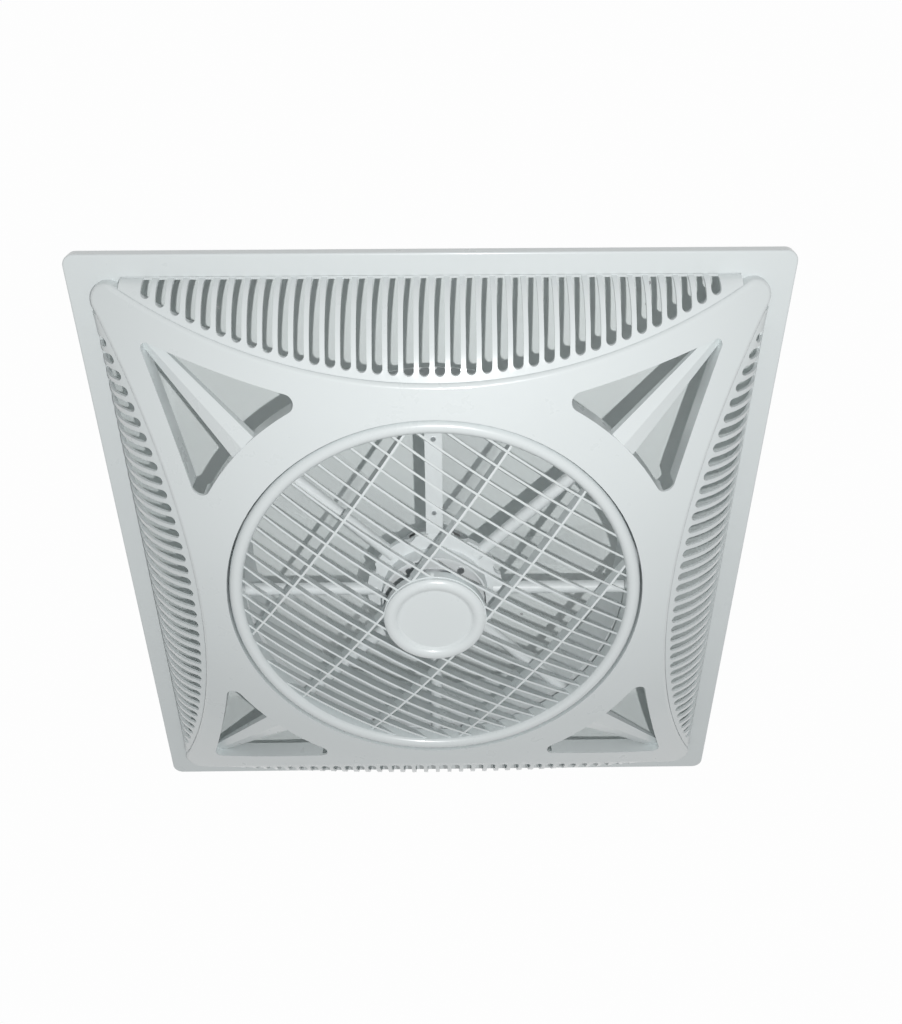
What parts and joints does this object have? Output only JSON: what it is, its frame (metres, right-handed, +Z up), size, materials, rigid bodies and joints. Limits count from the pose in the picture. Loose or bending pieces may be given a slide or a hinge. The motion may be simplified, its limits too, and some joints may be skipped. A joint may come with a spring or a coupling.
{
  "type": "lay-in ceiling fan",
  "caption": "Square false-ceiling grid fan with a domed star panel, slotted intakes round its edge and a turning round louvre under a hidden impeller.",
  "frame": {"origin": "middle of the panel, on the room-side face of its flat border, which rests on the ceiling grid", "axes": "+Z up into the ceiling, -Z into the room, X and Y along the panel's sides; -Y is the picture's top edge"},
  "size_m": [0.595, 0.595, 0.2218],
  "materials": {
    "panel_white": "glossy cool white",
    "inner_white": "satin white",
    "clear_plastic": "clear",
    "white_steel": "white powder coat",
    "zinc_steel": "zinc plated",
    "screw_steel": "bright",
    "motor_aluminium": "as cast",
    "lamination": "stacked sheet",
    "copper": "varnished",
    "bronze": "sintered",
    "motor_can": "satin",
    "grey_plastic": "matte grey",
    "block_plastic": "matte",
    "gland_plastic": "matte black",
    "capacitor_case": "matte black"
  },
  "bodies": {
    "frame": {"front_panel": "panel_white", "intake_grille_front": "panel_white", "intake_grille_right": "panel_white", "intake_grille_back": "panel_white", "intake_grille_left": "panel_white", "spider": "inner_white", "spider_screws": "screw_steel", "arm_cable_cover": "inner_white", "cover_screws": "screw_steel", "swing_motor": "motor_can", "swing_motor_screws": "screw_steel", "air_shroud": "inner_white", "rear_casing": "white_steel", "casing_screws": "screw_steel", "motor_screws": "screw_steel", "motor_rear_bell": "motor_aluminium", "motor_front_bell": "motor_aluminium", "stator_core": "lamination", "stator_windings": "copper", "motor_through_bolts": "screw_steel", "rear_bearing": "bronze", "front_bearing": "bronze", "hanger_bracket_1": "zinc_steel", "hanger_bracket_2": "zinc_steel", "hanger_bracket_3": "zinc_steel", "hanger_bracket_4": "zinc_steel", "hanger_screws": "screw_steel", "terminal_box": "grey_plastic", "terminal_box_lid": "grey_plastic", "lid_screws": "screw_steel", "terminal_box_screws": "screw_steel", "terminal_block": "block_plastic", "cable_gland": "gland_plastic", "gland_nut": "gland_plastic", "capacitor": "capacitor_case", "capacitor_strap": "zinc_steel", "capacitor_strap_screws": "screw_steel"},
    "impeller": {"motor_shaft": "screw_steel", "rotor_core": "lamination", "impeller": "clear_plastic", "drive_pin": "screw_steel", "impeller_nut": "screw_steel"},
    "louvre": {"louvre_grille": "panel_white", "swing_shaft": "screw_steel", "louvre_screw": "screw_steel", "hub_cap": "panel_white"}
  },
  "joints": [
    {"name": "impeller_spin", "type": "hinge", "parent": "frame", "child": "impeller", "pos_m": [0, 0, 0], "axis": [0, 0, 1], "continuous": true},
    {"name": "louvre_spin", "type": "hinge", "parent": "frame", "child": "louvre", "pos_m": [0, 0, 0], "axis": [0, 0, 1], "continuous": true}
  ]
}
